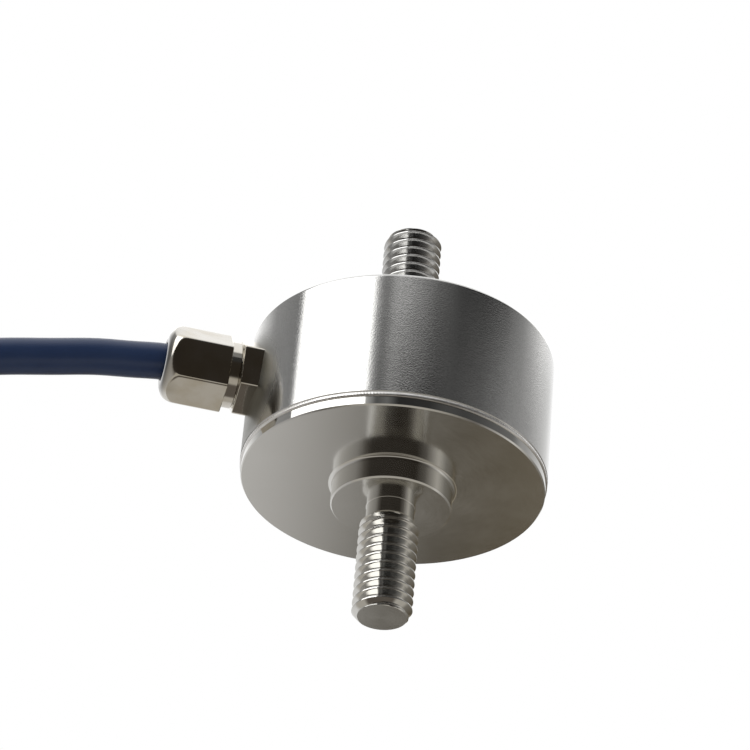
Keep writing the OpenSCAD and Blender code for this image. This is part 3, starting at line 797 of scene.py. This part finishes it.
tube_rows = [(0.02, 0, 0), (0.02, core_r, 0), (tip_s - 0.1, core_r, 0), (tip_s, core_r - 0.08, 0),
             (tip_s, 0.24, 0)]
tip_rows = [(tip_s, 0.24, 0), *[(s, copper_r, 1) for s in np.linspace(tip_s + 0.05, lead_l - 0.2, 60)],
            (lead_l - 0.05, 0.2, 0), (lead_l - 0.05, 0, 0)]
lead_pieces = []
for k, colour in enumerate(("red", "black", "green", "white")):
    piece = skin(f"stripped_{colour}", [lead(k, tube_rows, 7), lead(k, tip_rows, 7)], 40)
    fit(piece, insulation[colour], f"core_{colour}", f"lead_{colour}")
    piece.data.materials.append(tinned)
    middles = np.empty(len(piece.data.polygons) * 3)
    piece.data.polygons.foreach_get("center", middles)
    beyond = (middles.reshape(-1, 3) / mm - cable_end) @ last
    piece.data.polygons.foreach_set("material_index", (beyond > cos(lean) * tip_s).astype(np.int32))
    lead_pieces.append(piece)
drain_rows = [(0.02, 0, 0), (0.02, drain_r, 1),
              *[(s, drain_r, 1) for s in np.linspace(0.3, lead_l - 0.3, 200)],
              (lead_l - 0.1, 0.3, 0), (lead_l - 0.1, 0, 0)]
shield_drain = skin("drain_wire", [lead(4, drain_rows, 9)], 40)
fit(shield_drain, tinned, "drain_tinned", "shield_drain")
for piece in (cable, *ties, end_sleeve, *lead_pieces, shield_drain):
    piece.visible_glossy = False


# Studio
# White room with a pale floor far below. What the metal mirrors is a function of direction alone: a tall soft
# window on the cable's side, grey walls that are dark beside the camera and bright behind the sensor, and a
# table below.
world = bpy.data.worlds.new("studio")
bpy.context.scene.world = world
world.use_nodes = True
tree = world.node_tree
sky = tree.nodes["Background"]
direction = Wire(tree, tree.nodes.new("ShaderNodeTexCoord").outputs["Generated"])
x, y, z = direction.parts()
bearing = y.math("ARCTAN2", x) * (1 / (2 * pi)) + 0.5
degrees = bearing * 360 - 180
window = brightest = 2.6


def lights(stops):
    """What the room sends from each bearing: its light at bearings in degrees, where 1 is paper in full
    light. A ramp holds no more than 1, so all of it is divided by the brightest light until the end."""
    return bearing.add("ShaderNodeValToRGB", {"stops": [
        ((a + 180) / 360, np.multiply(light, 1 / brightest)) for a, light in stops]}, {0: bearing})


# The walls round about and higher up, and then what lies low down: pale paper behind the sensor, the dark gap
# at its edge, a wooden table to the right of it, and a dark corner on the camera's side.
round_about = [(-180, window), (-128, window), (-127, 0.5), (-119, 0.1), (-111, 0.17), (-103, 0.03),
               (-80, 0.04), (-40, 0.2), (-15, 0.38), (10, 0.42), (60, 1.0), (110, 1.1), (140, 0.4), (172, 0.27),
               (173, window), (180, window)]
higher_up = [(-180, window), (-128, window), (-127, 0.75), (-119, 0.25), (-111, 0.75), (-103, 0.75),
             (-80, 0.25), (-60, 0.05), (-40, 0.02), (-20, 0.05), (0, 0.33), (30, 1.6), (105, 1.7), (140, 0.4),
             (172, 0.3), (173, window), (180, window)]
low_down = [(-180, (.4, .39, .38)), (-160, (.12, .11, .1)), (-148, (.04, .035, .03)),
            (-60, (.03, .025, .02)), (-40, (.16, .15, .14)), (-9, (.74, .72, .69)), (15, (.32, .31, .29)),
            (58, (.12, .1, .07)), (70, (.4, .36, .29)), (75.2, (.13, .105, .065)), (76.8, (.035, .025, .012)),
            (78.3, (.16, .15, .13)), (81.2, (.72, .71, .7)), (84, (.86, .86, .86)), (118, (.85, .85, .85)),
            (135, (.66, .65, .64)), (180, (.4, .39, .38))]
mirrored = z.between(0.22, 0.34).blend(lights(low_down), lights(round_about))
mirrored = z.between(0.547, 0.57).blend(mirrored, lights(higher_up))
# A dark rail along one wall, the lit ceiling, and the floor, which is dark right below.
rail_width = degrees.between(-75, -50) * degrees.between(-8, 6, 1.0, 0.0)
rail_height = z.between(0.4, 0.44) * z.between(0.485, 0.51, 1.0, 0.0)
mirrored = (rail_width * rail_height * 0.6).blend(mirrored, (0.004, 0.004, 0.004))
mirrored = z.between(0.76, 0.85).blend(mirrored, np.full(3, 1.15 / brightest))
mirrored = (z * -1).between(0.56, 0.7).blend(mirrored, np.divide((0.5, 0.475, 0.43), brightest))
mirrored = (z * -1).between(0.86, 0.93).blend(mirrored, np.divide((0.12, 0.105, 0.09), brightest))
mirrored = mirrored.add("ShaderNodeVectorMath", {"operation": "SCALE"}, {0: mirrored, "Scale": brightest})
rays = tree.nodes.new("ShaderNodeLightPath")
soft = z.between(-1, 1).blend((0.12, 0.12, 0.12), (1.0, 1.0, 1.0))
light = Wire(tree, rays.outputs["Is Diffuse Ray"]).blend(mirrored, soft)
Wire(tree, rays.outputs["Is Camera Ray"]).blend(light, (1, 1, 1)).into(sky, "Color")
floor_half, floor_z = 4.0, -0.62
floor_mesh = bpy.data.meshes.new("floor")
corners = np.multiply([(-1, -1), (1, -1), (1, 1), (-1, 1)], floor_half)
floor_mesh.from_pydata([(*corner, floor_z) for corner in corners], [], [(0, 1, 2, 3)])
floor = bpy.data.objects.new("floor", floor_mesh)
bpy.context.scene.collection.objects.link(floor)
floor_finish, shader, place = finish("pale_floor", Roughness=0.8)
place.noise(3, 3).blend((0.9, 0.9, 0.9), (0.86, 0.86, 0.86)).into(shader, "Base Color")
floor_mesh.materials.append(floor_finish)
floor.visible_glossy = False
for name, spot, size, power in (("window", (-0.55, -0.15, 0.35), 0.5, 3.2),
                                ("front", (0.25, -0.6, 0.1), 0.6, 0.8)):
    lamp = bpy.data.lights.new(name, "AREA")
    lamp.size, lamp.energy = size, power
    stand = bpy.data.objects.new(name, lamp)
    stand.location = spot
    stand.rotation_euler = Vector(spot).to_track_quat("Z", "Y").to_euler()
    stand.visible_glossy = False
    bpy.context.scene.collection.objects.link(stand)
bpy.context.scene.view_settings.view_transform = "Standard"
